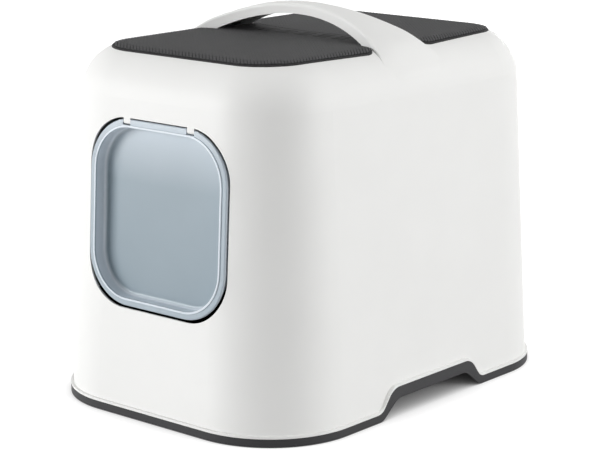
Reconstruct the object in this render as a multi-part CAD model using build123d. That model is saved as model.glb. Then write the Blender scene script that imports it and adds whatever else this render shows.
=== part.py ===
from build123d import *
import os
from math import cos, radians, sin, sqrt, tan

# Hooded cat litter box: a tray, a lift-off hood with a moulded handle, a swing door, and a top cover
# with a charcoal filter under it. Millimetres. Z is up, the floor is Z 0, the origin is under the
# middle of the box, X runs across the width, Y along the length, and the doorway faces -Y.

# Tray
TRAY_WIDTH = 370.0
TRAY_LENGTH = 510.0
TRAY_CORNER = 105.0
TRAY_WALL = 2.2
BAND_LOW = 0.8
BAND_HIGH = 9.2
TUB_HEIGHT = 105.0
TUB_SIDE_GAP = 18.0
TUB_DRAFT = 2.0
TUB_FLOOR_LIFT = 4.0
TUB_FLOOR_ROUND = 14.0
TUB_RIM = 3.0

# Hand grip in each long side: the edge steps up from foot to head
GRIP_RISE = 24.2
GRIP_FOOT = 89.5
GRIP_HEAD = 70.5
GRIP_FOOT_ROUND = 14.0
GRIP_HEAD_ROUND = 22.0
GRIP_LOW_RISE = 21.0
GRIP_LOW_FOOT = 88.0
GRIP_LOW_HEAD = 62.0

# Anti-slip feet
FOOT_RADIUS = 11.0
FOOT_HEIGHT = 4.4
FOOT_EDGE = 0.6
FOOT_SOCKET_DEPTH = 1.2
FOOT_GAP = 0.3
FOOT_INSET_X = 95.0
FOOT_INSET_Y = 95.0
SOCKET_WALL = 2.0

# Hood
HOOD_STEP = 3.0
HOOD_DRAFT = 3.0
HOOD_TOP = 391.0
HOOD_ROLL = 50.0
HOOD_WALL = 2.2
HOOD_SEAT_GAP = 0.3
LIP_HEIGHT = 2.6
RIB_DEPTH = 7.0
RIB_WIDTH = 2.4
RIB_HEIGHT = 45.0
RIB_SIDE_Y = 150.0
RIB_END_X = 70.0

# Carrying handle
HANDLE_TOP = 428.0
HANDLE_UNDER = 415.5
HANDLE_HALF_WIDTH = 14.5
HANDLE_SIDE_RADIUS = 330.0
HANDLE_ROLL = 45.0
HANDLE_ROLL_CENTRE_Z = 352.0
HANDLE_ROLL_END = 62.0
HANDLE_SPRING_OUT = 5.0
HANDLE_EDGE_ROUND = 3.0
HANDLE_CROWN = 2.0
HANDLE_LEDGE = 0.6
HANDLE_TUCK = 0.4
HANDLE_FADE_START = 22.0
HANDLE_FADE_END = 17.0
HANDLE_MERGE_START = -6.0
HANDLE_HOLLOW_END = 12.0
HANDLE_END = 26.0
HANDLE_STEPS = 16

# Top cover and the opening it fills, set in from the hood's foot outline
COVER_END_INSET = 48.5
COVER_SIDE_INSET = 46.5
COVER_TAPER = 7.5
COVER_WAIST_DEPTH = 35.5
COVER_CORNER = 52.0
COVER_FLARE_ROUND = 18.0
COVER_PROUD = 1.0
COVER_WALL = 2.4
COVER_GAP = 0.4
COVER_FLANGE = 8.0
COVER_SKIN_GAP = 0.3
CLIP_WIDTH = 14.0
CLIP_LIP = 3.0
CLIP_WALL = 2.0
CLIP_GAP = 0.3
CLIP_SIDE_Y = 125.0
SLOT_COLUMNS = 5
SLOT_ROWS = 3
SLOT_PITCH_X = 27.0
SLOT_PITCH_Y = 8.0
SLOT_WIDTH = 2.6
SLOT_LENGTH = 20.0

# Swing door
FLAP_WIDTH = 198.0
FLAP_HEIGHT = 201.0
FLAP_CORNER = 57.0
DOOR_CORNER = 54.0
FLAP_MID_Z = 222.0
FLAP_WALL = 2.2
FLAP_RIM = 8.6
FLAP_DISH = 14.5
FLAP_DISH_ROUND = 4.0
FLAP_BEAD = 2.4
FLAP_BEAD_HEIGHT = 1.1
FLAP_BEAD_ROUND = 0.9
FLAP_RIM_ROUND = 1.8
FLAP_GAP = 2.0
FLAP_SAG = 0.6

# Flap hinges, measured from the flap's top edge and from the outer face
HINGE_DROP = 3.0
HINGE_DEPTH = 3.0
HINGE_X = 46.0
TAB_WIDTH = 10.0
TAB_RADIUS = 2.6
TAB_SIDE_GAP = 0.6
TAB_ROOT = 7.0
BOSS_LENGTH = 7.0
BOSS_RADIUS = 2.8
FLAP_PIN_RADIUS = 1.2
PIN_RUNNING_GAP = 0.05

# Filter under the cover
FILTER_WIDTH = 160.0
FILTER_LENGTH = 100.0
FILTER_HEIGHT = 8.5
FILTER_SIDE_GAP = 0.6
FRAME_WALL = 2.4
FRAME_BAR = 3.0
FRAME_CORNER = 10.0
FRAME_COVER_GAP = 0.6
FRAME_BARS_X = 8
FRAME_BARS_Y = 5
FRAME_HINGE_OUT = 5.0
FRAME_HINGE_DROP = 9.0
KNUCKLE_RADIUS = 3.6
KNUCKLE_LENGTH = 12.0
KNUCKLE_X = 55.0
LUG_LENGTH = 4.0
LUG_GAP = 0.5
FRAME_PIN_RADIUS = 1.5

# Sizes that follow from the ones above
LEAN = tan(radians(HOOD_DRAFT))
HOOD_BASE = BAND_HIGH + HOOD_SEAT_GAP
HOOD_HALF_WIDTH = TRAY_WIDTH / 2 - HOOD_STEP
HOOD_HALF_LENGTH = TRAY_LENGTH / 2 - HOOD_STEP
HOOD_CORNER = TRAY_CORNER - HOOD_STEP
COVER_FRONT = HOOD_HALF_LENGTH - COVER_END_INSET
COVER_MID_HALF = HOOD_HALF_WIDTH - COVER_SIDE_INSET
COVER_FRONT_HALF = COVER_MID_HALF - COVER_TAPER
COVER_WAIST_HALF = COVER_MID_HALF - COVER_WAIST_DEPTH
HANDLE_SPRING_X = COVER_WAIST_HALF + HANDLE_SPRING_OUT
SKY = HANDLE_TOP + HOOD_ROLL
BELOW_ROLL = HOOD_TOP - 2 * HOOD_ROLL


def slab(sketch, low, high):
    """Upright block on a plan sketch between two heights."""
    return extrude(Pos(0, 0, low) * sketch, high - low)


def plan(half_width, half_length, corner):
    """Plan of the box at one level."""
    return RectangleRounded(2 * half_width, 2 * half_length, corner)


def under_edge(level, rise, foot, head, floor):
    """Everything under a tray or hood edge that steps up over the hand grips."""
    reach = TRAY_LENGTH
    high = level + rise
    edge = FilletPolyline((-reach, level), (-foot, level), (-head, high),
                          (head, high), (foot, level), (reach, level),
                          radius=[GRIP_FOOT_ROUND, GRIP_HEAD_ROUND, GRIP_HEAD_ROUND, GRIP_FOOT_ROUND])
    below = Polyline((reach, level), (reach, floor), (-reach, floor), (-reach, level))
    return extrude(Plane.YZ * make_face([edge, below]), TRAY_WIDTH, both=True)


def under_band_top(drop=0.0):
    """Everything under the upper edge of the tray's band, lowered by drop."""
    return under_edge(BAND_HIGH - drop, GRIP_RISE, GRIP_FOOT, GRIP_HEAD, -TRAY_WIDTH)


def tub_form(inset):
    """Solid of the tub, shrunk all round by inset; the floor rises by the same amount."""
    top = plan(TRAY_WIDTH / 2 - TUB_SIDE_GAP - inset, TRAY_LENGTH / 2 - TUB_SIDE_GAP - inset,
               TRAY_CORNER - TUB_SIDE_GAP - inset)
    mouth = Plane(origin=(0, 0, TUB_HEIGHT), x_dir=(1, 0, 0), z_dir=(0, 0, -1))
    form = extrude(mouth * top, TUB_HEIGHT - TUB_FLOOR_LIFT - inset, taper=TUB_DRAFT)
    return fillet(form.faces().sort_by(Axis.Z)[0].edges(), TUB_FLOOR_ROUND - inset)


def foot_places():
    """Name and plan position of each anti-slip foot."""
    x = TRAY_WIDTH / 2 - FOOT_INSET_X
    y = TRAY_LENGTH / 2 - FOOT_INSET_Y
    return (("foot_front_left", -x, -y), ("foot_front_right", x, -y),
            ("foot_rear_left", -x, y), ("foot_rear_right", x, y))


def make_tray():
    """Tub with a rolled rim, a bottom flange with hand grips, and sockets for the feet."""
    outer = plan(TRAY_WIDTH / 2, TRAY_LENGTH / 2, TRAY_CORNER)
    inner = plan(TRAY_WIDTH / 2 - TRAY_WALL, TRAY_LENGTH / 2 - TRAY_WALL, TRAY_CORNER - TRAY_WALL)
    grip_top = BAND_HIGH + GRIP_RISE
    band = slab(outer, BAND_LOW, grip_top) & under_band_top()
    band -= under_edge(BAND_LOW, GRIP_LOW_RISE - BAND_LOW, GRIP_LOW_FOOT, GRIP_LOW_HEAD, -TRAY_WIDTH)
    band -= slab(inner, -BAND_HIGH, grip_top) & under_band_top(TRAY_WALL)
    rim_half = TRAY_WIDTH / 2 - TUB_SIDE_GAP + TUB_RIM
    rim_long = TRAY_LENGTH / 2 - TUB_SIDE_GAP + TUB_RIM
    rim = slab(plan(rim_half, rim_long, TRAY_CORNER - TUB_SIDE_GAP + TUB_RIM), TUB_HEIGHT - TUB_RIM, TUB_HEIGHT)
    rim = fillet(rim.edges().group_by(Axis.Z)[0] + rim.edges().group_by(Axis.Z)[-1], TUB_RIM / 3)
    tray = band + tub_form(0) + rim
    for _, x, y in foot_places():
        tray += Pos(x, y) * slab(Circle(FOOT_RADIUS + SOCKET_WALL), FOOT_HEIGHT - FOOT_SOCKET_DEPTH, TUB_FLOOR_ROUND)
    tray -= tub_form(TRAY_WALL)
    for _, x, y in foot_places():
        tray -= Pos(x, y) * slab(Circle(FOOT_RADIUS + FOOT_GAP), 0, FOOT_HEIGHT)
    return tray


def make_foot(x, y):
    """Round pad, softened where it meets the floor, bonded in its socket."""
    pad = slab(Circle(FOOT_RADIUS), 0, FOOT_HEIGHT)
    pad = fillet(pad.edges().group_by(Axis.Z)[0], FOOT_EDGE)
    return Pos(x, y) * pad


def hood_half(half_at_base, z):
    """Half size of the leaning hood wall at height z."""
    return half_at_base - (z - HOOD_BASE) * LEAN


def hood_form(inset):
    """Solid filling the hood's form without the handle, shrunk all round by inset."""
    base = plan(hood_half(HOOD_HALF_WIDTH, 0) - inset, hood_half(HOOD_HALF_LENGTH, 0) - inset,
                hood_half(HOOD_CORNER, 0) - inset)
    form = extrude(base, HOOD_TOP - inset, taper=HOOD_DRAFT)
    return fillet(form.faces().sort_by(Axis.Z)[-1].edges(), HOOD_ROLL - inset)


def shoulder_centre(centre_z, radius):
    """Distance from mid box of the centre of a shoulder that rolls off the leaning side wall."""
    return hood_half(HOOD_HALF_WIDTH, centre_z) - radius / cos(radians(HOOD_DRAFT))


def shoulder_height(x, centre_z, radius):
    """Height of such a shoulder at x, or of its top where x lies inside its centre."""
    past = max(abs(x) - shoulder_centre(centre_z, radius), 0.0)
    return centre_z + sqrt(radius**2 - past**2)


def crown_height(x):
    """Height of the handle's crown: a shallow arch that rolls down into the side walls."""
    spring = shoulder_centre(HANDLE_ROLL_CENTRE_Z, HANDLE_ROLL) + HANDLE_ROLL * cos(radians(HANDLE_ROLL_END))
    rise = HANDLE_TOP - HANDLE_ROLL_CENTRE_Z - HANDLE_ROLL * sin(radians(HANDLE_ROLL_END))
    arch_radius = (spring**2 + rise**2) / (2 * rise)
    if abs(x) < spring:
        return HANDLE_TOP - arch_radius + sqrt(arch_radius**2 - x**2)
    return shoulder_height(x, HANDLE_ROLL_CENTRE_Z, HANDLE_ROLL)


def handle_half_width(x):
    """Half width of the handle at x: narrow in the hand, flaring along an arc to the shoulders."""
    return HANDLE_HALF_WIDTH + HANDLE_SIDE_RADIUS - sqrt(HANDLE_SIDE_RADIUS**2 - x**2)


def fall(x, start, end):
    """Smooth fall from 1 to 0 as x goes from start to end on either side of the box."""
    share = min(max((abs(x) - start) / (end - start), 0.0), 1.0)
    return 1 - share**2 * (3 - 2 * share)


def handle_section(x, inset):
    """Upright slice across the handle at x; its edges, then its crown, sink into the hood's shoulder."""
    sunk = shoulder_height(x, HOOD_TOP - HOOD_ROLL, HOOD_ROLL) - HANDLE_TUCK
    edge_share = fall(x, COVER_MID_HALF - HANDLE_FADE_START, COVER_MID_HALF + HANDLE_FADE_END)
    crown_share = fall(x, COVER_MID_HALF + HANDLE_MERGE_START, COVER_MID_HALF + HANDLE_END)
    crown = sunk + HANDLE_TUCK / 2 + (crown_height(x) - sunk) * crown_share - inset
    edge = sunk + (crown_height(x) - HANDLE_CROWN - sunk) * edge_share - inset
    half = handle_half_width(x) - HANDLE_LEDGE - inset
    top = ThreePointArc((half, edge), (0, crown), (-half, edge))
    sides = Polyline((-half, edge), (-half, BELOW_ROLL), (half, BELOW_ROLL), (half, edge))
    section = make_face([top, sides])
    corners = section.vertices().group_by(Axis.Y)[-1]
    section = fillet(corners, HANDLE_EDGE_ROUND - min(inset, HANDLE_EDGE_ROUND / 2))
    return Plane.YZ.offset(x) * section


def handle_form(inset):
    """Solid of the handle, from one side wall over the top to the other."""
    step = (COVER_MID_HALF + HANDLE_END) / HANDLE_STEPS
    return loft([handle_section(step * k, inset) for k in range(-HANDLE_STEPS, HANDLE_STEPS + 1)])


def window():
    """Plan of the front part of the cover opening, from its rounded front to the handle's side."""
    flare = -handle_half_width(COVER_MID_HALF)
    sides = Polyline((COVER_MID_HALF, flare), (COVER_FRONT_HALF, -COVER_FRONT),
                     (-COVER_FRONT_HALF, -COVER_FRONT), (-COVER_MID_HALF, flare))
    along_handle = ThreePointArc((-COVER_MID_HALF, flare), (0, -HANDLE_HALF_WIDTH), (COVER_MID_HALF, flare))
    shape = make_face([sides, along_handle])
    shape = fillet(shape.vertices().group_by(Axis.Y)[0], COVER_CORNER)
    return fillet(shape.vertices().group_by(Axis.Y)[-1], COVER_FLARE_ROUND)


def windows(grow):
    """Plan of the two visible parts of the cover, before and behind the handle, grown all round."""
    ahead = offset(window(), grow)
    return ahead + mirror(ahead, about=Plane.XZ)


def cover_plan(grow):
    """Plan of the whole cover opening, with its waist under the handle, grown all round."""
    waist = Rectangle(2 * (HANDLE_SPRING_X + grow), 2 * handle_half_width(COVER_MID_HALF))
    return windows(grow) + waist


def door_plane():
    """Frame on the outer front face at the flap's middle: right, up the wall, outward."""
    front = -hood_half(HOOD_HALF_LENGTH, FLAP_MID_Z)
    return Plane(origin=(0, front, FLAP_MID_Z), x_dir=(1, 0, 0), z_dir=(0, -1, LEAN))


def hinge_line(x):
    """Plane whose local X lies along the flap's hinge axis at x."""
    return door_plane() * Pos(x, FLAP_HEIGHT / 2 - HINGE_DROP, -HINGE_DEPTH)


def rod(radius, length):
    """Round bar along local X, centred."""
    return Rot(0, 90, 0) * Cylinder(radius, length)


def make_hood():
    """Thin shell with the moulded handle, doorway, hinge tabs, foot lip and locating ribs."""
    hood = hood_form(0) - slab(windows(0), BELOW_ROLL, SKY) + handle_form(0)
    hood -= hood_form(HOOD_WALL)
    hollow = Rectangle(2 * (COVER_MID_HALF + HANDLE_HOLLOW_END), TRAY_LENGTH)
    hood -= handle_form(HOOD_WALL) & slab(hollow, BELOW_ROLL, SKY)
    spring = HOOD_TOP + COVER_PROUD + COVER_GAP
    arch = make_face([
        Line((-HANDLE_SPRING_X, BELOW_ROLL), (HANDLE_SPRING_X, BELOW_ROLL)),
        Line((HANDLE_SPRING_X, BELOW_ROLL), (HANDLE_SPRING_X, spring)),
        ThreePointArc((HANDLE_SPRING_X, spring), (0, HANDLE_UNDER), (-HANDLE_SPRING_X, spring)),
        Line((-HANDLE_SPRING_X, spring), (-HANDLE_SPRING_X, BELOW_ROLL)),
    ])
    hood -= extrude(Plane.XZ * arch, handle_half_width(HANDLE_SPRING_X) + COVER_WALL, both=True)
    lip = plan(TRAY_WIDTH / 2, TRAY_LENGTH / 2, TRAY_CORNER)
    lip_ring = slab(lip, 0, HOOD_TOP / 2) & under_band_top(-HOOD_SEAT_GAP - LIP_HEIGHT)
    hood += lip_ring - hood_form(HOOD_WALL)
    hood -= under_band_top(-HOOD_SEAT_GAP)
    for turn in (0, 180):
        for x in (-RIB_END_X, RIB_END_X):
            hood += Rot(0, 0, turn) * locating_rib(HOOD_HALF_LENGTH, x)
        for y in (-RIB_SIDE_Y, RIB_SIDE_Y):
            hood += Rot(0, 0, turn + 90) * locating_rib(HOOD_HALF_WIDTH, y)
    hood += cover_clips()
    opening = RectangleRounded(FLAP_WIDTH + 2 * FLAP_GAP, FLAP_HEIGHT + 2 * FLAP_GAP, DOOR_CORNER)
    hood -= door_plane() * (Pos(0, -FLAP_SAG) * extrude(opening, FLAP_DISH, both=True))
    for x in (-HINGE_X, HINGE_X):
        hood += hinge_line(x) * hinge_tab()
        hood -= hinge_line(x) * rod(FLAP_PIN_RADIUS + PIN_RUNNING_GAP, 2 * TAB_WIDTH)
    return hood


def locating_rib(half, across):
    """Upright rib on the inside of the hood wall that stands on the tray's flange."""
    inner = hood_half(half, BAND_HIGH) - HOOD_WALL
    shape = Polyline((-inner + RIB_DEPTH, BAND_HIGH), (-inner + RIB_DEPTH, BAND_HIGH + RIB_HEIGHT / 2),
                     (-inner + HOOD_WALL, BAND_HIGH + RIB_HEIGHT), (-inner - HOOD_WALL / 2, BAND_HIGH), close=True)
    return Pos(across, 0, 0) * extrude(Plane.YZ * make_face(shape), RIB_WIDTH / 2, both=True)


def cover_clips():
    """Hooks under the hood's skin that close round the edge of the cover's flange."""
    under_flange = HOOD_WALL + COVER_SKIN_GAP + COVER_WALL + CLIP_GAP
    reach = COVER_FLANGE + CLIP_GAP + CLIP_WALL
    belt = slab(cover_plan(reach), BELOW_ROLL, SKY)
    belt -= slab(cover_plan(reach - CLIP_WALL - CLIP_LIP), BELOW_ROLL, SKY)
    hooks = belt & (hood_form(HOOD_WALL / 2) - hood_form(under_flange + CLIP_WALL))
    flange_room = slab(cover_plan(COVER_FLANGE + CLIP_GAP), BELOW_ROLL, SKY)
    hooks -= flange_room & (hood_form(HOOD_WALL) - hood_form(under_flange))
    across = Rectangle(TRAY_WIDTH, CLIP_WIDTH)
    along = Rectangle(CLIP_WIDTH, TRAY_LENGTH)
    places = along + Pos(0, CLIP_SIDE_Y) * across + Pos(0, -CLIP_SIDE_Y) * across
    return hooks & slab(places, BELOW_ROLL, SKY)


def hinge_tab():
    """Tab that hangs from the doorway's top edge into the flap's rim, rounded about the pin."""
    stem_top = HINGE_DROP + FLAP_GAP - FLAP_SAG + TAB_ROOT
    stem = Pos(0, stem_top / 2, 0) * Box(TAB_WIDTH, stem_top, 2 * TAB_RADIUS)
    return stem + rod(TAB_RADIUS, TAB_WIDTH)


def make_flap():
    """Dished door: a flat rim flush with the hood, a bead on it, walls running in, two hinge notches."""
    rim = RectangleRounded(FLAP_WIDTH, FLAP_HEIGHT, FLAP_CORNER)
    back = FLAP_DISH + FLAP_WALL
    flap = extrude(rim, -FLAP_WALL)
    flap = fillet(flap.edges().group_by(Axis.Z)[-1], FLAP_RIM_ROUND)
    tub = extrude(offset(rim, FLAP_WALL - FLAP_RIM), -back)
    tub = fillet(tub.edges().group_by(Axis.Z)[0], FLAP_DISH_ROUND + FLAP_WALL)
    dish = extrude(Pos(0, 0, FLAP_BEAD_HEIGHT) * offset(rim, -FLAP_RIM), -FLAP_BEAD_HEIGHT - FLAP_DISH)
    dish = fillet(dish.edges().group_by(Axis.Z)[0], FLAP_DISH_ROUND)
    bead = extrude(offset(rim, FLAP_BEAD - FLAP_RIM), FLAP_BEAD_HEIGHT)
    flap += tub + fillet(bead.edges().group_by(Axis.Z)[-1], FLAP_BEAD_ROUND)
    pivot_y = FLAP_HEIGHT / 2 - HINGE_DROP
    notch_half = TAB_WIDTH / 2 + TAB_SIDE_GAP
    notch_deep = FLAP_RIM - FLAP_WALL
    for x in (-HINGE_X, HINGE_X):
        boss = Pos(x, pivot_y, -HINGE_DEPTH) * rod(BOSS_RADIUS, 2 * (notch_half + BOSS_LENGTH))
        flap += boss & extrude(rim, -back)
        notch = Pos(x, FLAP_HEIGHT / 2 - notch_deep / 2, 0)
        flap -= notch * Box(2 * notch_half, notch_deep, 2 * back)
        flap -= Pos(x, pivot_y, -HINGE_DEPTH) * rod(FLAP_PIN_RADIUS, 2 * (notch_half + BOSS_LENGTH))
    flap -= dish
    return door_plane() * flap


def make_flap_pin(x):
    """Plain pin pressed into the flap's bosses, turning in the hood's tab."""
    length = 2 * (TAB_WIDTH / 2 + TAB_SIDE_GAP + BOSS_LENGTH)
    return hinge_line(x) * rod(FLAP_PIN_RADIUS, length)


def frame_top():
    """Height of the filter frame's upper edge, just under the cover."""
    return HOOD_TOP + COVER_PROUD - COVER_WALL - FRAME_COVER_GAP


def frame_hinge(x):
    """Place of the filter frame's hinge axis at x."""
    rear = FILTER_LENGTH / 2 + FILTER_SIDE_GAP + FRAME_WALL
    return Pos(x, rear + FRAME_HINGE_OUT, frame_top() - FRAME_HINGE_DROP)


def make_cover():
    """Domed panel standing just proud of the hood, with a flange caught under the hood's skin."""
    skin_gap = HOOD_WALL + COVER_SKIN_GAP
    top = hood_form(-COVER_PROUD)
    panel = slab(cover_plan(-COVER_GAP), BELOW_ROLL, SKY)
    collar = panel - slab(cover_plan(-COVER_GAP - COVER_WALL), BELOW_ROLL, SKY)
    cover = (top - hood_form(COVER_WALL - COVER_PROUD)) & panel
    cover += (top - hood_form(skin_gap + COVER_WALL)) & collar
    skirt = slab(cover_plan(COVER_FLANGE), BELOW_ROLL, SKY)
    skirt -= slab(cover_plan(-COVER_GAP - COVER_WALL), BELOW_ROLL, SKY)
    cover += (hood_form(skin_gap) - hood_form(skin_gap + COVER_WALL)) & skirt
    for place in GridLocations(SLOT_PITCH_X, SLOT_PITCH_Y, SLOT_COLUMNS, SLOT_ROWS):
        cover -= slab(place * SlotOverall(SLOT_LENGTH, SLOT_WIDTH), BELOW_ROLL, SKY)
    lug_height = FRAME_HINGE_DROP + FRAME_COVER_GAP + COVER_WALL / 2
    lug_offset = (KNUCKLE_LENGTH + LUG_LENGTH) / 2 + LUG_GAP
    for x in (-KNUCKLE_X, KNUCKLE_X):
        for side in (-lug_offset, lug_offset):
            lug = Pos(0, 0, lug_height / 2) * Box(LUG_LENGTH, 2 * KNUCKLE_RADIUS, lug_height)
            lug += rod(KNUCKLE_RADIUS, LUG_LENGTH)
            lug -= rod(FRAME_PIN_RADIUS, 2 * LUG_LENGTH)
            cover += frame_hinge(x + side) * lug
    return cover


def make_filter_frame():
    """Shallow basket with a barred floor and two knuckles behind it."""
    half_width = FILTER_WIDTH / 2 + FILTER_SIDE_GAP
    half_length = FILTER_LENGTH / 2 + FILTER_SIDE_GAP
    top = frame_top()
    bottom = top - FILTER_HEIGHT - FRAME_BAR
    outer = plan(half_width + FRAME_WALL, half_length + FRAME_WALL, FRAME_CORNER)
    inner = plan(half_width, half_length, FRAME_CORNER - FRAME_WALL)
    frame = slab(outer, bottom, top) - slab(inner, bottom, top)
    pitch_x = 2 * half_width / FRAME_BARS_X
    pitch_y = 2 * half_length / FRAME_BARS_Y
    bars = [Pos(pitch_x * (i - FRAME_BARS_X / 2), 0) * Rectangle(FRAME_WALL, 2 * half_length + FRAME_WALL)
            for i in range(1, FRAME_BARS_X)]
    bars += [Pos(0, pitch_y * (i - FRAME_BARS_Y / 2)) * Rectangle(2 * half_width + FRAME_WALL, FRAME_WALL)
             for i in range(1, FRAME_BARS_Y)]
    for bar in bars:
        frame += slab(bar, bottom, bottom + FRAME_BAR)
    for x in (-KNUCKLE_X, KNUCKLE_X):
        arm = Pos(0, -FRAME_HINGE_OUT / 2, 0) * Box(KNUCKLE_LENGTH, FRAME_HINGE_OUT + FRAME_WALL, KNUCKLE_RADIUS)
        knuckle = arm + rod(KNUCKLE_RADIUS, KNUCKLE_LENGTH)
        knuckle -= rod(FRAME_PIN_RADIUS + PIN_RUNNING_GAP, 2 * KNUCKLE_LENGTH)
        frame += frame_hinge(x) * knuckle
    return frame


def make_filter():
    """Loose pad lying on the frame's bars."""
    top = frame_top()
    pad = plan(FILTER_WIDTH / 2, FILTER_LENGTH / 2, FRAME_CORNER - FRAME_WALL)
    return slab(pad, top - FILTER_HEIGHT, top)


def make_frame_pin(x):
    """Pin held in the cover's two lugs, with the frame's knuckle turning on it."""
    return frame_hinge(x) * rod(FRAME_PIN_RADIUS, KNUCKLE_LENGTH + 2 * LUG_LENGTH + 2 * LUG_GAP)


pieces = {
    "litter_tray": make_tray(),
    "hood_shell": make_hood(),
    "vent_cover": make_cover(),
    "entry_flap": make_flap(),
    "flap_pin_left": make_flap_pin(-HINGE_X),
    "flap_pin_right": make_flap_pin(HINGE_X),
    "filter_frame": make_filter_frame(),
    "carbon_filter": make_filter(),
    "filter_pin_left": make_frame_pin(-KNUCKLE_X),
    "filter_pin_right": make_frame_pin(KNUCKLE_X),
}
for name, x, y in foot_places():
    pieces[name] = make_foot(x, y)

os.makedirs("parts", exist_ok=True)
for name, piece in pieces.items():
    export_step(piece, f"parts/{name}.step")
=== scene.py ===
"""Looks of a hooded cat litter box, dressed piece by piece round its solids.

Metres. Z is up, the floor is Z 0, X runs across the width and the doorway faces -Y.
"""
import math

import bmesh
import bpy
from mathutils import Matrix, Vector, noise
from mathutils.bvhtree import BVHTree


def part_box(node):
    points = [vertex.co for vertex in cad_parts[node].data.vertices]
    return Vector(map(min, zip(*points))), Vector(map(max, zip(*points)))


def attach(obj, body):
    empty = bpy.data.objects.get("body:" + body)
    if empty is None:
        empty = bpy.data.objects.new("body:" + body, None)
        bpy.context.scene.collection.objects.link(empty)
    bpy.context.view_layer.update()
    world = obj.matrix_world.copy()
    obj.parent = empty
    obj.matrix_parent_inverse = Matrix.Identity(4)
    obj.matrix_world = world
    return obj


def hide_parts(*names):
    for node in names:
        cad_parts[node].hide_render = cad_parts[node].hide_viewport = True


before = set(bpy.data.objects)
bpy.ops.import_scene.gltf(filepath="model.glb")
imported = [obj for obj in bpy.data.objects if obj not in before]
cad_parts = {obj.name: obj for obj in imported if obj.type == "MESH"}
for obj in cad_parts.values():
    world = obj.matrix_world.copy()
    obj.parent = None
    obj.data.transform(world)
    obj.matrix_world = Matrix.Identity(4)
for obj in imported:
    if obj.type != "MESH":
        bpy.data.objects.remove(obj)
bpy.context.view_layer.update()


# Litter tray
# A deep tub with a foot flange all round, injection moulded in anthracite polypropylene.
# It stands on four soft feet, and the hood drops over it on to the flange.
DRIFT_PER_METRE = 14.0
DRIFT_START = 0.3
DRIFT_END = 0.7
GRAIN_STRENGTH = 0.6


def moulded_grain_group():
    """Shader group for a moulded plastic skin: a fine grain, and a slow drift of the colour."""
    group = bpy.data.node_groups.new("moulded grain", "ShaderNodeTree")
    for name in ("Grain Per Metre", "Drift Per Metre"):
        group.interface.new_socket(name, in_out="INPUT", socket_type="NodeSocketFloat")
    for name in ("Grain", "Drift"):
        group.interface.new_socket(name, in_out="OUTPUT", socket_type="NodeSocketFloat")
    entry = group.nodes.new("NodeGroupInput")
    out = group.nodes.new("NodeGroupOutput")
    place = group.nodes.new("ShaderNodeTexCoord")
    grain = group.nodes.new("ShaderNodeTexNoise")
    grain.inputs["Detail"].default_value = 3.0
    grain.inputs["Roughness"].default_value = 0.55
    drift = group.nodes.new("ShaderNodeTexNoise")
    drift.inputs["Detail"].default_value = 2.0
    for texture, name in ((grain, "Grain"), (drift, "Drift")):
        group.links.new(place.outputs["Object"], texture.inputs["Vector"])
        group.links.new(entry.outputs[name + " Per Metre"], texture.inputs["Scale"])
        group.links.new(texture.outputs["Fac"], out.inputs[name])
    return group


moulded_grain = moulded_grain_group()


def moulded_plastic(name, colour, drift_colour, roughness, grain_per_metre, grain_depth, specular):
    """Plastic straight from the mould: its colour drifts a little, and its gloss follows the grain."""
    material = bpy.data.materials.new(name)
    material.use_nodes = True
    tree = material.node_tree
    shader = tree.nodes["Principled BSDF"]
    shader.inputs["Specular IOR Level"].default_value = specular
    skin = tree.nodes.new("ShaderNodeGroup")
    skin.node_tree = moulded_grain
    skin.inputs["Grain Per Metre"].default_value = grain_per_metre
    skin.inputs["Drift Per Metre"].default_value = DRIFT_PER_METRE
    tint = tree.nodes.new("ShaderNodeValToRGB")
    tint.color_ramp.elements[0].position = DRIFT_START
    tint.color_ramp.elements[0].color = (*drift_colour, 1.0)
    tint.color_ramp.elements[1].position = DRIFT_END
    tint.color_ramp.elements[1].color = (*colour, 1.0)
    gloss = tree.nodes.new("ShaderNodeMapRange")
    gloss.inputs["To Min"].default_value, gloss.inputs["To Max"].default_value = roughness
    bump = tree.nodes.new("ShaderNodeBump")
    bump.inputs["Strength"].default_value = GRAIN_STRENGTH
    bump.inputs["Distance"].default_value = grain_depth
    tree.links.new(skin.outputs["Drift"], tint.inputs["Fac"])
    tree.links.new(tint.outputs["Color"], shader.inputs["Base Color"])
    tree.links.new(skin.outputs["Grain"], gloss.inputs["Value"])
    tree.links.new(gloss.outputs["Result"], shader.inputs["Roughness"])
    tree.links.new(skin.outputs["Grain"], bump.inputs["Height"])
    tree.links.new(bump.outputs["Normal"], shader.inputs["Normal"])
    return material


def finish(piece, material):
    """Gives a piece its one material."""
    piece.data.materials.clear()
    piece.data.materials.append(material)


anthracite = moulded_plastic(
    "anthracite polypropylene", colour=(0.030, 0.030, 0.032), drift_colour=(0.024, 0.024, 0.026),
    roughness=(0.46, 0.62), grain_per_metre=1500.0, grain_depth=0.00005, specular=0.3)
finish(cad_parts["litter_tray"], anthracite)


# Anti-slip feet
# Four round pads of soft black rubber, pressed and bonded into sockets under the tub.
rubber = moulded_plastic(
    "foot rubber", colour=(0.022, 0.022, 0.023), drift_colour=(0.030, 0.029, 0.028),
    roughness=(0.72, 0.92), grain_per_metre=900.0, grain_depth=0.00012, specular=0.25)
for foot in ("foot_front_left", "foot_front_right", "foot_rear_left", "foot_rear_right"):
    finish(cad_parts[foot], rubber)


# Hood
# One deep thin shell in satin white polypropylene, with its carrying handle moulded in.
# It stands on the tray's flange on a thin lip, and lifts straight off.
white = moulded_plastic(
    "satin white polypropylene", colour=(0.87, 0.87, 0.857), drift_colour=(0.855, 0.855, 0.842),
    roughness=(0.46, 0.56), grain_per_metre=1100.0, grain_depth=0.00002, specular=0.3)
finish(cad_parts["hood_shell"], white)


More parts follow.
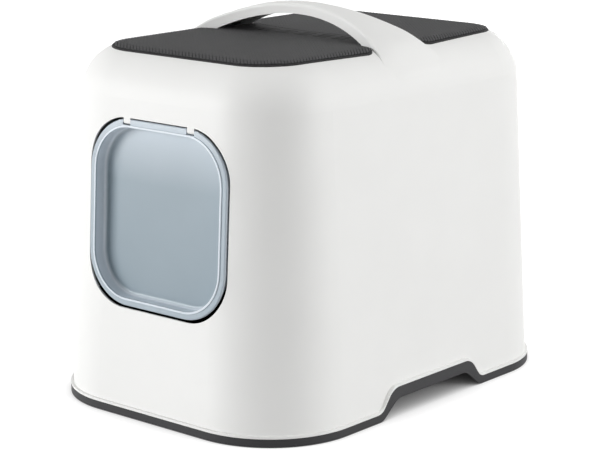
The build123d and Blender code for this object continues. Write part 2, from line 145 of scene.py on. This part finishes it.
# Vent cover
# A charcoal panel clipped into the hood's roof, waisted under the handle, with vent slots there.
# Before and behind the handle its face is moulded with a fine raised diamond pattern.
# The diamonds' colour carries painted shade in the grooves and a painted highlight on tall diamonds of the
# rolled edges.
CHARCOAL = dict(
    colour=(0.040, 0.040, 0.041), drift_colour=(0.034, 0.034, 0.035),
    roughness=(0.58, 0.72), grain_per_metre=1400.0, grain_depth=0.00005, specular=0.12)
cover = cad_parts["vent_cover"]
finish(cover, moulded_plastic("charcoal polypropylene", **CHARCOAL))

COVER_FLANGE = 0.008
COVER_TAPER = 0.0075
HANDLE_HALF_WIDTH = 0.0145
HANDLE_SIDE_RADIUS = 0.330
HANDLE_SIDE_CHORDS = 12
FRONT_CORNER = 0.052
FLARE_ROUND = 0.018
CORNER_SEGMENTS = 10
PLAIN_BORDER = 0.0015
DIAMOND_PITCH = 0.0034
DIAMOND_TURN = math.radians(45)
DIAMOND_GROOVE = 0.0013
DIAMOND_HEIGHT = 0.0002
DIAMOND_HEIGHT_ON_SLOPE = 0.0036
DIAMOND_SINK = 0.0006
GROOVE_FLOOR = 0.0001
CUT_TOLERANCE = 1e-7
ABOVE_THE_BOX = 1.0
HALF_RAISED = 0.5
# Painted shade and highlight on the diamonds: full contrast from this relief height, dark in grooves, pale
# on tops.
PAINTED_CONTRAST_HEIGHT = 0.0012
PAINTED_GROOVE_SHADE = 0.15
PAINTED_TOP_HIGHLIGHT = 2.3


def rounded_outline(points, rounded):
    """Closed plan outline in order, from its points and the rounding radii of some of them."""
    bm = bmesh.new()
    ring = [bm.verts.new((x, y, 0)) for x, y in points]
    bm.faces.new(ring)
    for index, radius in rounded.items():
        vertex = ring[index]
        before, after = (edge.other_vert(vertex).co - vertex.co for edge in vertex.link_edges)
        cut = radius / math.tan(before.angle(after) / 2)
        bmesh.ops.bevel(
            bm, geom=[vertex], offset=cut, offset_type="OFFSET", affect="VERTICES",
            segments=CORNER_SEGMENTS, profile=0.5, material=-1)
    bm.faces.ensure_lookup_table()
    outline = [loop.vert.co.copy() for loop in bm.faces[0].loops]
    bm.free()
    return outline


def diamond_field(name, outline, panel):
    """Diamond relief inside a convex plan outline, laid on the panel's curved face.

    Until it is laid, Z is a share of the relief's height: 0 in a groove and 1 on top of a diamond.
    """
    middle = sum(outline, Vector()) / len(outline)
    reach = max((point - middle).length for point in outline)
    cells = math.ceil(reach / DIAMOND_PITCH)
    bm = bmesh.new()
    bmesh.ops.create_grid(bm, x_segments=2 * cells, y_segments=2 * cells, size=cells * DIAMOND_PITCH)
    bmesh.ops.rotate(bm, verts=bm.verts, cent=(0, 0, 0), matrix=Matrix.Rotation(DIAMOND_TURN, 3, "Z"))
    bmesh.ops.translate(bm, verts=bm.verts, vec=(0, middle.y, 0))
    bmesh.ops.inset_individual(bm, faces=bm.faces, thickness=DIAMOND_GROOVE / 2, depth=1.0)
    for start, end in zip(outline, outline[1:] + outline[:1]):
        along = end - start
        outward = Vector((along.y, -along.x, 0)).normalized()
        if outward.dot(middle - start) > 0:
            outward.negate()
        bmesh.ops.bisect_plane(
            bm, geom=bm.verts[:] + bm.edges[:] + bm.faces[:], dist=CUT_TOLERANCE,
            plane_co=start - outward * PLAIN_BORDER, plane_no=outward, clear_outer=True)
    corners = [vertex.co for vertex in panel.data.vertices]
    face = BVHTree.FromPolygons(corners, [polygon.vertices for polygon in panel.data.polygons])
    raised = bm.verts.layers.float.new("raised")
    for vertex in bm.verts:
        above = Vector((vertex.co.x, vertex.co.y, ABOVE_THE_BOX))
        hit, normal, _, _ = face.ray_cast(above, Vector((0, 0, -1)))
        height = DIAMOND_HEIGHT + DIAMOND_HEIGHT_ON_SLOPE * normal.xy.length
        # The raised attribute carries painted shade and a painted highlight, spread fully only where the
        # relief is tall.
        vertex[raised] = HALF_RAISED + (vertex.co.z - HALF_RAISED) * min(height / PAINTED_CONTRAST_HEIGHT, 1.0)
        vertex.co.z = hit.z + GROOVE_FLOOR + vertex.co.z * height
    sunk = bmesh.ops.extrude_face_region(bm, geom=bm.faces[:], use_keep_orig=True)
    sunk_verts = [item for item in sunk["geom"] if isinstance(item, bmesh.types.BMVert)]
    bmesh.ops.translate(bm, verts=sunk_verts, vec=(0, 0, -DIAMOND_SINK))
    bmesh.ops.recalc_face_normals(bm, faces=bm.faces)
    mesh = bpy.data.meshes.new(name)
    bm.to_mesh(mesh)
    bm.free()
    piece = bpy.data.objects.new(name, mesh)
    bpy.context.scene.collection.objects.link(piece)
    return piece


def relief_with_painted_light():
    """The cover's charcoal, with painted shade in deep grooves and a painted highlight on tall diamonds.
    """
    material = moulded_plastic("charcoal relief", **CHARCOAL)
    tree = material.node_tree
    shader = tree.nodes["Principled BSDF"]
    raised = tree.nodes.new("ShaderNodeAttribute")
    raised.attribute_name = "raised"
    shade = tree.nodes.new("ShaderNodeMapRange")
    shade.inputs["To Min"].default_value = PAINTED_GROOVE_SHADE
    shade.inputs["To Max"].default_value = PAINTED_TOP_HIGHLIGHT
    painted_contrast = tree.nodes.new("ShaderNodeVectorMath")
    painted_contrast.operation = "SCALE"
    tint = shader.inputs["Base Color"].links[0].from_socket
    tree.links.new(raised.outputs["Fac"], shade.inputs["Value"])
    tree.links.new(tint, painted_contrast.inputs[0])
    tree.links.new(shade.outputs["Result"], painted_contrast.inputs["Scale"])
    tree.links.new(painted_contrast.outputs["Vector"], shader.inputs["Base Color"])
    return material


relief = relief_with_painted_light()
cover_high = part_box("vent_cover")[1]
cover_front = cover_high.y - COVER_FLANGE
cover_middle_half = cover_high.x - COVER_FLANGE
cover_front_half = cover_middle_half - COVER_TAPER
for name, way in (("cover_diamonds_front", -1), ("cover_diamonds_rear", 1)):
    outline = [(-cover_front_half, way * cover_front), (cover_front_half, way * cover_front)]
    for chord in range(HANDLE_SIDE_CHORDS + 1):
        x = cover_middle_half * (1 - 2 * chord / HANDLE_SIDE_CHORDS)
        aside = HANDLE_HALF_WIDTH + HANDLE_SIDE_RADIUS - math.sqrt(HANDLE_SIDE_RADIUS**2 - x**2)
        outline.append((x, way * aside))
    window = rounded_outline(outline, {0: FRONT_CORNER, 1: FRONT_CORNER, 2: FLARE_ROUND, -1: FLARE_ROUND})
    diamonds = diamond_field(name, window, cover)
    finish(diamonds, relief)
    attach(diamonds, "hood")


# Filter basket and its pins
# A shallow barred basket in black polypropylene, hinged under the cover on two steel pins.
black = moulded_plastic(
    "black polypropylene", colour=(0.020, 0.020, 0.021), drift_colour=(0.026, 0.026, 0.027),
    roughness=(0.4, 0.55), grain_per_metre=1300.0, grain_depth=0.00004, specular=0.4)
finish(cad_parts["filter_frame"], black)

STEEL_DARK = (0.52, 0.52, 0.51)
STEEL_BRIGHT = (0.68, 0.68, 0.67)
STEEL_ROUGHNESS = (0.22, 0.4)
STEEL_LINES_PER_METRE = (40.0, 6000.0, 6000.0)


def drawn_steel():
    """Bright drawn wire: fine lines run along the pin."""
    material = bpy.data.materials.new("drawn steel")
    material.use_nodes = True
    tree = material.node_tree
    shader = tree.nodes["Principled BSDF"]
    shader.inputs["Metallic"].default_value = 1.0
    place = tree.nodes.new("ShaderNodeTexCoord")
    stretch = tree.nodes.new("ShaderNodeMapping")
    stretch.inputs["Scale"].default_value = STEEL_LINES_PER_METRE
    lines = tree.nodes.new("ShaderNodeTexNoise")
    lines.inputs["Scale"].default_value = 1.0
    tint = tree.nodes.new("ShaderNodeValToRGB")
    tint.color_ramp.elements[0].color = (*STEEL_DARK, 1.0)
    tint.color_ramp.elements[1].color = (*STEEL_BRIGHT, 1.0)
    gloss = tree.nodes.new("ShaderNodeMapRange")
    gloss.inputs["To Min"].default_value, gloss.inputs["To Max"].default_value = STEEL_ROUGHNESS
    tree.links.new(place.outputs["Object"], stretch.inputs["Vector"])
    tree.links.new(stretch.outputs["Vector"], lines.inputs["Vector"])
    tree.links.new(lines.outputs["Fac"], tint.inputs["Fac"])
    tree.links.new(lines.outputs["Fac"], gloss.inputs["Value"])
    tree.links.new(tint.outputs["Color"], shader.inputs["Base Color"])
    tree.links.new(gloss.outputs["Result"], shader.inputs["Roughness"])
    return material


steel = drawn_steel()
for pin in ("filter_pin_left", "filter_pin_right"):
    finish(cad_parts[pin], steel)


# Carbon filter pad
# A loose pad of open-celled foam loaded with charcoal, cut from a sheet and laid on the basket's bars.
# Its face is slightly crowned and its cut sides draw in a little between the corners.
FOAM_PORE_SHADE = (0.006, 0.006, 0.007)
FOAM_WALL = (0.045, 0.046, 0.048)
FOAM_ROUGHNESS = (0.95, 0.7)
FOAM_CELLS_PER_METRE = 700.0
FOAM_CELL_DEPTH = 0.0005


def carbon_foam():
    """Open cells about a millimetre across: pores darkened by painted shade between slightly lighter foam
    walls.
    """
    material = bpy.data.materials.new("carbon foam")
    material.use_nodes = True
    tree = material.node_tree
    shader = tree.nodes["Principled BSDF"]
    shader.inputs["Specular IOR Level"].default_value = 0.15
    place = tree.nodes.new("ShaderNodeTexCoord")
    cells = tree.nodes.new("ShaderNodeTexVoronoi")
    cells.inputs["Scale"].default_value = FOAM_CELLS_PER_METRE
    tint = tree.nodes.new("ShaderNodeValToRGB")
    tint.color_ramp.elements[0].color = (*FOAM_PORE_SHADE, 1.0)
    tint.color_ramp.elements[1].color = (*FOAM_WALL, 1.0)
    gloss = tree.nodes.new("ShaderNodeMapRange")
    gloss.inputs["To Min"].default_value, gloss.inputs["To Max"].default_value = FOAM_ROUGHNESS
    bump = tree.nodes.new("ShaderNodeBump")
    bump.inputs["Distance"].default_value = FOAM_CELL_DEPTH
    tree.links.new(place.outputs["Object"], cells.inputs["Vector"])
    tree.links.new(cells.outputs["Distance"], tint.inputs["Fac"])
    tree.links.new(cells.outputs["Distance"], gloss.inputs["Value"])
    tree.links.new(cells.outputs["Distance"], bump.inputs["Height"])
    tree.links.new(tint.outputs["Color"], shader.inputs["Base Color"])
    tree.links.new(gloss.outputs["Result"], shader.inputs["Roughness"])
    tree.links.new(bump.outputs["Normal"], shader.inputs["Normal"])
    return material


PAD_CELLS_ACROSS = 32
PAD_CELLS_ALONG = 20
PAD_RIM_ANGLE = math.radians(60)
PAD_EDGE_ROUND = 0.0012
PAD_EDGE_SEGMENTS = 3
PAD_DRAW_IN = 0.0014
PAD_CROWN = 0.0012
PAD_UNEVEN = 0.0003
PAD_UNEVEN_PER_METRE = 90.0
pad_low, pad_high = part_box("carbon_filter")
pad_middle = (pad_low + pad_high) / 2
pad_half = (pad_high - pad_low) / 2
bm = bmesh.new()
bmesh.ops.create_grid(bm, x_segments=PAD_CELLS_ACROSS, y_segments=PAD_CELLS_ALONG, size=1.0)
bmesh.ops.scale(bm, verts=bm.verts, vec=(pad_half.x, pad_half.y, 1.0))
raised = bmesh.ops.extrude_face_region(bm, geom=bm.faces[:], use_keep_orig=True)
raised_verts = [item for item in raised["geom"] if isinstance(item, bmesh.types.BMVert)]
bmesh.ops.translate(bm, verts=raised_verts, vec=(0, 0, 2 * pad_half.z))
bmesh.ops.translate(bm, verts=bm.verts, vec=pad_middle - Vector((0, 0, pad_half.z)))
bmesh.ops.recalc_face_normals(bm, faces=bm.faces)
rims = [edge for edge in bm.edges if edge.calc_face_angle(0) > PAD_RIM_ANGLE]
bmesh.ops.bevel(
    bm, geom=rims, offset=PAD_EDGE_ROUND, offset_type="OFFSET", affect="EDGES",
    segments=PAD_EDGE_SEGMENTS, profile=0.5, material=-1)
for vertex in bm.verts:
    across = (vertex.co.x - pad_middle.x) / pad_half.x
    along = (vertex.co.y - pad_middle.y) / pad_half.y
    up = (vertex.co.z - pad_middle.z) / pad_half.z
    vertex.co.x -= PAD_DRAW_IN * across**3 * (1 - along**2)
    vertex.co.y -= PAD_DRAW_IN * along**3 * (1 - across**2)
    vertex.co.z -= PAD_CROWN * max(up, 0) * (across**2 + along**2) / 2
    vertex.co.z -= PAD_UNEVEN * max(up, 0) * (noise.noise(vertex.co * PAD_UNEVEN_PER_METRE) + 1) / 2
pad_mesh = bpy.data.meshes.new("carbon_pad")
bm.to_mesh(pad_mesh)
bm.free()
pad_mesh.shade_smooth()
pad = bpy.data.objects.new("carbon_pad", pad_mesh)
bpy.context.scene.collection.objects.link(pad)
finish(pad, carbon_foam())
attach(pad, "filter_tray")
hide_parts("carbon_filter")


# Entry flap
# A dished swing door in frosted smoke-blue polypropylene, thin enough to let some light through.
# It hangs in the doorway by two steel pins pressed into bosses behind its top rim.
# Its colour is painted paler in the dish's walls, the bead and the top: painted light for light let
# through the plastic.
FLAP_LEAN = math.radians(3.0)
FLAP_DEPTH = 0.0156
SMOKE_BLUE = (0.32, 0.40, 0.455)
SMOKE_BLUE_DRIFT = (0.30, 0.38, 0.435)
PAINTED_LIGHT_WHITE = (0.83, 0.90, 0.97)
PAINTED_LIGHT_AT_TOP = 0.55
TOP_FADE = 0.07
# How much painted light whitens the flap, by the share of its depth from the dish's floor to the bead's
# crest.
PAINTED_LIGHT_BY_DEPTH = {0.02: 0.3, 0.1: 1.0, 0.84: 1.0, 0.91: 0.28, 0.95: 0.28, 1.0: 1.0}
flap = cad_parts["entry_flap"]
flap_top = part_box("entry_flap")[1].z
flap_outward = Vector((0.0, -math.cos(FLAP_LEAN), math.sin(FLAP_LEAN)))
flap_crest = max(vertex.co.dot(flap_outward) for vertex in flap.data.vertices)


def frosted_panel():
    """Frosted plastic letting blurred light through; painted light pales the dish's walls, bead and top.
    """
    material = moulded_plastic(
        "frosted polypropylene", colour=SMOKE_BLUE, drift_colour=SMOKE_BLUE_DRIFT,
        roughness=(0.3, 0.4), grain_per_metre=900.0, grain_depth=0.00003, specular=0.5)
    tree = material.node_tree
    shader = tree.nodes["Principled BSDF"]
    shader.inputs["Transmission Weight"].default_value = 0.2
    shader.inputs["IOR"].default_value = 1.49
    place = tree.nodes.new("ShaderNodeTexCoord")
    outward = tree.nodes.new("ShaderNodeVectorMath")
    outward.operation = "DOT_PRODUCT"
    outward.inputs[1].default_value = flap_outward
    depth = tree.nodes.new("ShaderNodeMapRange")
    depth.inputs["From Min"].default_value = flap_crest - FLAP_DEPTH
    depth.inputs["From Max"].default_value = flap_crest
    painted_light = tree.nodes.new("ShaderNodeValToRGB")
    stops = painted_light.color_ramp.elements
    stops.remove(stops[1])
    for position, amount in PAINTED_LIGHT_BY_DEPTH.items():
        stops.new(position).color = (amount, amount, amount, 1.0)
    height = tree.nodes.new("ShaderNodeSeparateXYZ")
    top = tree.nodes.new("ShaderNodeMapRange")
    top.inputs["From Min"].default_value = flap_top - TOP_FADE
    top.inputs["From Max"].default_value = flap_top
    top.inputs["To Max"].default_value = PAINTED_LIGHT_AT_TOP
    either = tree.nodes.new("ShaderNodeMath")
    either.operation = "MAXIMUM"
    whiten = tree.nodes.new("ShaderNodeMix")
    whiten.data_type = "RGBA"
    whiten.inputs["B"].default_value = (*PAINTED_LIGHT_WHITE, 1.0)
    tint = shader.inputs["Base Color"].links[0].from_socket
    tree.links.new(place.outputs["Object"], outward.inputs[0])
    tree.links.new(outward.outputs["Value"], depth.inputs["Value"])
    tree.links.new(depth.outputs["Result"], painted_light.inputs["Fac"])
    tree.links.new(place.outputs["Object"], height.inputs["Vector"])
    tree.links.new(height.outputs["Z"], top.inputs["Value"])
    tree.links.new(painted_light.outputs["Color"], either.inputs[0])
    tree.links.new(top.outputs["Result"], either.inputs[1])
    tree.links.new(either.outputs["Value"], whiten.inputs["Factor"])
    tree.links.new(tint, whiten.inputs["A"])
    tree.links.new(whiten.outputs["Result"], shader.inputs["Base Color"])
    return material


finish(flap, frosted_panel())


# Flap pins
# Two plain steel pins, hidden in the flap's bosses and turning in the hood's tabs.
for pin in ("flap_pin_left", "flap_pin_right"):
    finish(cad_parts[pin], steel)


# Studio
# A wide white floor that keeps the shadow of the box, four soft boxes and the camera.
# The soft boxes stand to the left, to the right, above and behind.
FLOOR_SIZE = 30.0
FLOOR_BOUNCE = (0.8, 0.8, 0.8)
FLOOR_SHADED = (0.42, 0.42, 0.42)
SHADE_REACH = 0.12
SHADE_SAMPLES = 32
FULLY_OPEN = 0.85
floor_mesh = bpy.data.meshes.new("floor")
bm = bmesh.new()
bmesh.ops.create_grid(bm, x_segments=1, y_segments=1, size=FLOOR_SIZE / 2)
bm.to_mesh(floor_mesh)
bm.free()
floor = bpy.data.objects.new("floor", floor_mesh)
bpy.context.scene.collection.objects.link(floor)


def seen_directly(tree):
    """1 where the eye looks straight, through a reflection or through glass, and 0 for other light."""
    path = tree.nodes.new("ShaderNodeLightPath")
    either = path.outputs["Is Camera Ray"]
    for ray in ("Is Glossy Ray", "Is Transmission Ray"):
        both = tree.nodes.new("ShaderNodeMath")
        both.operation = "MAXIMUM"
        tree.links.new(either, both.inputs[0])
        tree.links.new(path.outputs[ray], both.inputs[1])
        either = both.outputs["Value"]
    return either


def floor_paper():
    """White paper: glows to the eye, painted shade where the box closes it in; bounces plain white light.
    """
    material = bpy.data.materials.new("floor paper")
    material.use_nodes = True
    tree = material.node_tree
    tree.nodes.clear()
    out = tree.nodes.new("ShaderNodeOutputMaterial")
    bounce = tree.nodes.new("ShaderNodeBsdfDiffuse")
    bounce.inputs["Color"].default_value = (*FLOOR_BOUNCE, 1.0)
    shaded = tree.nodes.new("ShaderNodeBsdfDiffuse")
    shaded.inputs["Color"].default_value = (*FLOOR_SHADED, 1.0)
    # Painted shade: ambient occlusion dims the floor's glow under and beside the box.
    openness = tree.nodes.new("ShaderNodeAmbientOcclusion")
    openness.samples = SHADE_SAMPLES
    openness.inputs["Distance"].default_value = SHADE_REACH
    lift = tree.nodes.new("ShaderNodeMapRange")
    lift.inputs["From Max"].default_value = FULLY_OPEN
    glow = tree.nodes.new("ShaderNodeEmission")
    shown = tree.nodes.new("ShaderNodeAddShader")
    choose = tree.nodes.new("ShaderNodeMixShader")
    tree.links.new(openness.outputs["AO"], lift.inputs["Value"])
    tree.links.new(lift.outputs["Result"], glow.inputs["Strength"])
    tree.links.new(shaded.outputs["BSDF"], shown.inputs[0])
    tree.links.new(glow.outputs["Emission"], shown.inputs[1])
    tree.links.new(seen_directly(tree), choose.inputs["Fac"])
    tree.links.new(bounce.outputs["BSDF"], choose.inputs[1])
    tree.links.new(shown.outputs["Shader"], choose.inputs[2])
    tree.links.new(choose.outputs["Shader"], out.inputs["Surface"])
    return material


finish(floor, floor_paper())

AMBIENT = 0.25
world = bpy.data.worlds.new("studio")
world.use_nodes = True
bpy.context.scene.world = world
sky = world.node_tree.nodes["Background"]
sky.inputs["Color"].default_value = (1.0, 1.0, 1.0, 1.0)
level = world.node_tree.nodes.new("ShaderNodeMapRange")
level.inputs["To Min"].default_value = AMBIENT
world.node_tree.links.new(seen_directly(world.node_tree), level.inputs["Value"])
world.node_tree.links.new(level.outputs["Result"], sky.inputs["Strength"])

BOX_MIDDLE = Vector((0.0, 0.0, 0.2))


def aim(thing, place, target):
    """Stands a lamp or the camera at a place, turns it to its target and adds it to the scene."""
    thing.location = place
    thing.rotation_mode = "QUATERNION"
    thing.rotation_quaternion = (target - Vector(place)).to_track_quat("-Z", "Y")
    bpy.context.scene.collection.objects.link(thing)


def soft_box(name, place, size, power):
    """Square area light aimed at the middle of the box."""
    lamp = bpy.data.lights.new(name, "AREA")
    lamp.size = size
    lamp.energy = power
    aim(bpy.data.objects.new(name, lamp), place, BOX_MIDDLE)


soft_box("left softbox", place=(-2.9, -3.7, 0.9), size=2.4, power=188.0)
soft_box("right softbox", place=(4.2, 1.7, 1.2), size=2.2, power=95.0)
soft_box("top softbox", place=(0.9, 0.4, 3.0), size=2.0, power=29.0)
soft_box("rear softbox", place=(-1.6, 4.0, 0.4), size=0.8, power=34.0)

CAMERA_PLACE = Vector((1.47637, -1.73453, 0.70490))
CAMERA_TARGET = Vector((-0.00447, -0.00382, 0.17295))
SENSOR_WIDTH_MM = 36.0
FOCAL_LENGTH_MM = 123.22
lens = bpy.data.cameras.new("camera")
lens.sensor_width = SENSOR_WIDTH_MM
lens.lens = FOCAL_LENGTH_MM
camera = bpy.data.objects.new("camera", lens)
aim(camera, CAMERA_PLACE, CAMERA_TARGET)
bpy.context.scene.camera = camera
bpy.context.scene.view_settings.view_transform = "Standard"
